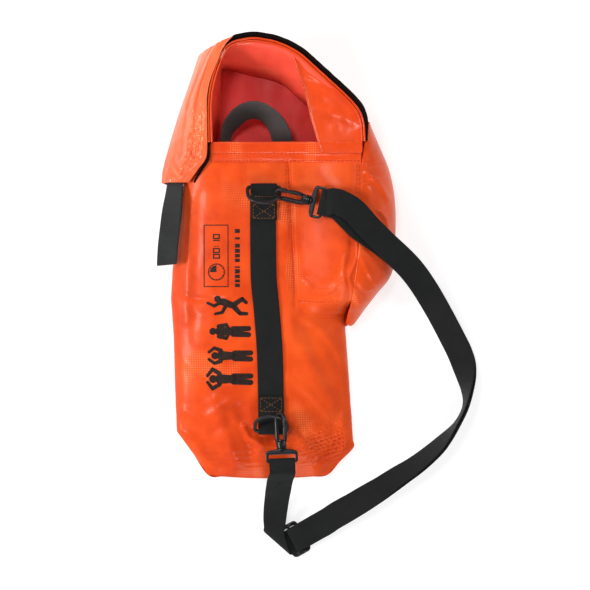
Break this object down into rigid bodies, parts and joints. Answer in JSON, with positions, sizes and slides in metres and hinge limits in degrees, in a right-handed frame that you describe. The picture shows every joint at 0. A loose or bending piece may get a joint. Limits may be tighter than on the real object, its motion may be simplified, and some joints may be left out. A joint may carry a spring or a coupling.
{
  "type": "escape breathing set carrying bag",
  "caption": "Soft orange carrying bag for an escape breathing set, lying open on its back, with side hood compartment, peeled-back cover and clip-on webbing shoulder strap.",
  "frame": {"origin": "bottom centre of the bag itself (strap not counted), on the surface that it lies on", "axes": "+X towards the side hood compartment, +Y towards the mouth of the bag, +Z out of the front panel"},
  "size_m": [0.3575, 0.5861, 0.0722],
  "materials": {
    "coated_fabric": "glossy PVC-coated woven fabric, signal orange",
    "lining_fabric": "the same coated fabric seen from inside, deeper red in shadow",
    "piping": "folded coated-fabric piping",
    "hook_tape": "matt black hook-and-loop tape",
    "webbing": "ribbed black polyester webbing",
    "acetal": "black moulded acetal, satin"
  },
  "bodies": {
    "bag": {"back_panel": "lining_fabric", "front_panel": "coated_fabric", "left_gusset": "coated_fabric", "right_gusset": "coated_fabric", "bottom_gusset": "coated_fabric", "mouth_hem": "coated_fabric", "top_gusset": "lining_fabric", "rim_piping": "piping", "cover_band": "coated_fabric", "cover_hook_tape": "hook_tape", "hood_pocket_panel": "coated_fabric", "compartment_front": "coated_fabric", "compartment_gusset": "coated_fabric", "compartment_bottom": "coated_fabric", "spine_webbing": "webbing", "upper_ring_tab": "webbing", "lower_ring_tab": "webbing", "inner_strap": "webbing", "upper_hook_body": "acetal", "lower_hook_body": "acetal", "shoulder_strap": "webbing", "lower_strap": "webbing", "return_strap": "webbing"},
    "upper_ring": {"upper_d_ring": "acetal"},
    "lower_ring": {"lower_d_ring": "acetal"},
    "upper_gate": {"upper_hook_gate": "acetal"},
    "lower_gate": {"lower_hook_gate": "acetal"},
    "upper_eye": {"upper_swivel_eye": "acetal", "upper_strap_loop": "webbing"},
    "lower_eye": {"lower_swivel_eye": "acetal", "lower_strap_loop": "webbing"},
    "slider": {"strap_slider": "acetal", "slider_end_loop": "webbing"},
    "flap": {"cover_flap": "coated_fabric", "flap_hook_tape": "hook_tape"},
    "loop": {"pull_loop": "webbing"}
  },
  "joints": [
    {"name": "cover_flap_fold", "type": "hinge", "parent": "bag", "child": "flap", "pos_m": [-0.11071, 0.15961, 0.006], "axis": [-0.3021, -0.9533, 0], "range_deg": [0, 110]},
    {"name": "pull_loop_lift", "type": "hinge", "parent": "flap", "child": "loop", "pos_m": [-0.11521, 0.07811, 0.037], "axis": [-1, 0, 0], "range_deg": [0, 85]},
    {"name": "upper_ring_swing", "type": "hinge", "parent": "bag", "child": "upper_ring", "pos_m": [-0.01571, 0.07711, 0.0557], "axis": [1, 0, 0], "range_deg": [-6, 8]},
    {"name": "lower_ring_swing", "type": "hinge", "parent": "bag", "child": "lower_ring", "pos_m": [-0.00801, -0.19329, 0.0339], "axis": [1, 0, 0], "range_deg": [0, 7]},
    {"name": "upper_gate_press", "type": "hinge", "parent": "bag", "child": "upper_gate", "pos_m": [0.02509, 0.06827, 0.06985], "axis": [-0.247, -0.7849, 0.5683], "range_deg": [0, 18], "stiffness_Nm_per_rad": 0.02, "springref_deg": -14.32},
    {"name": "lower_gate_press", "type": "hinge", "parent": "bag", "child": "lower_gate", "pos_m": [0.00774, -0.2005, 0.05366], "axis": [-0.7827, -0.0029, 0.6224], "range_deg": [0, 18], "stiffness_Nm_per_rad": 0.02, "springref_deg": -14.32},
    {"name": "upper_eye_swivel", "type": "hinge", "parent": "bag", "child": "upper_eye", "pos_m": [0.03123, 0.06267, 0.06479], "axis": [0.9681, -0.225, 0.11], "range_deg": [-15, 15]},
    {"name": "lower_eye_swivel", "type": "hinge", "parent": "bag", "child": "lower_eye", "pos_m": [0.00364, -0.20762, 0.04847], "axis": [0.045, -0.9976, 0.052], "range_deg": [-60, 60]},
    {"name": "slider_adjust", "type": "slide", "parent": "bag", "child": "slider", "axis": [0.867, 0.4983, 0], "range_m": [0, 0.022]}
  ]
}
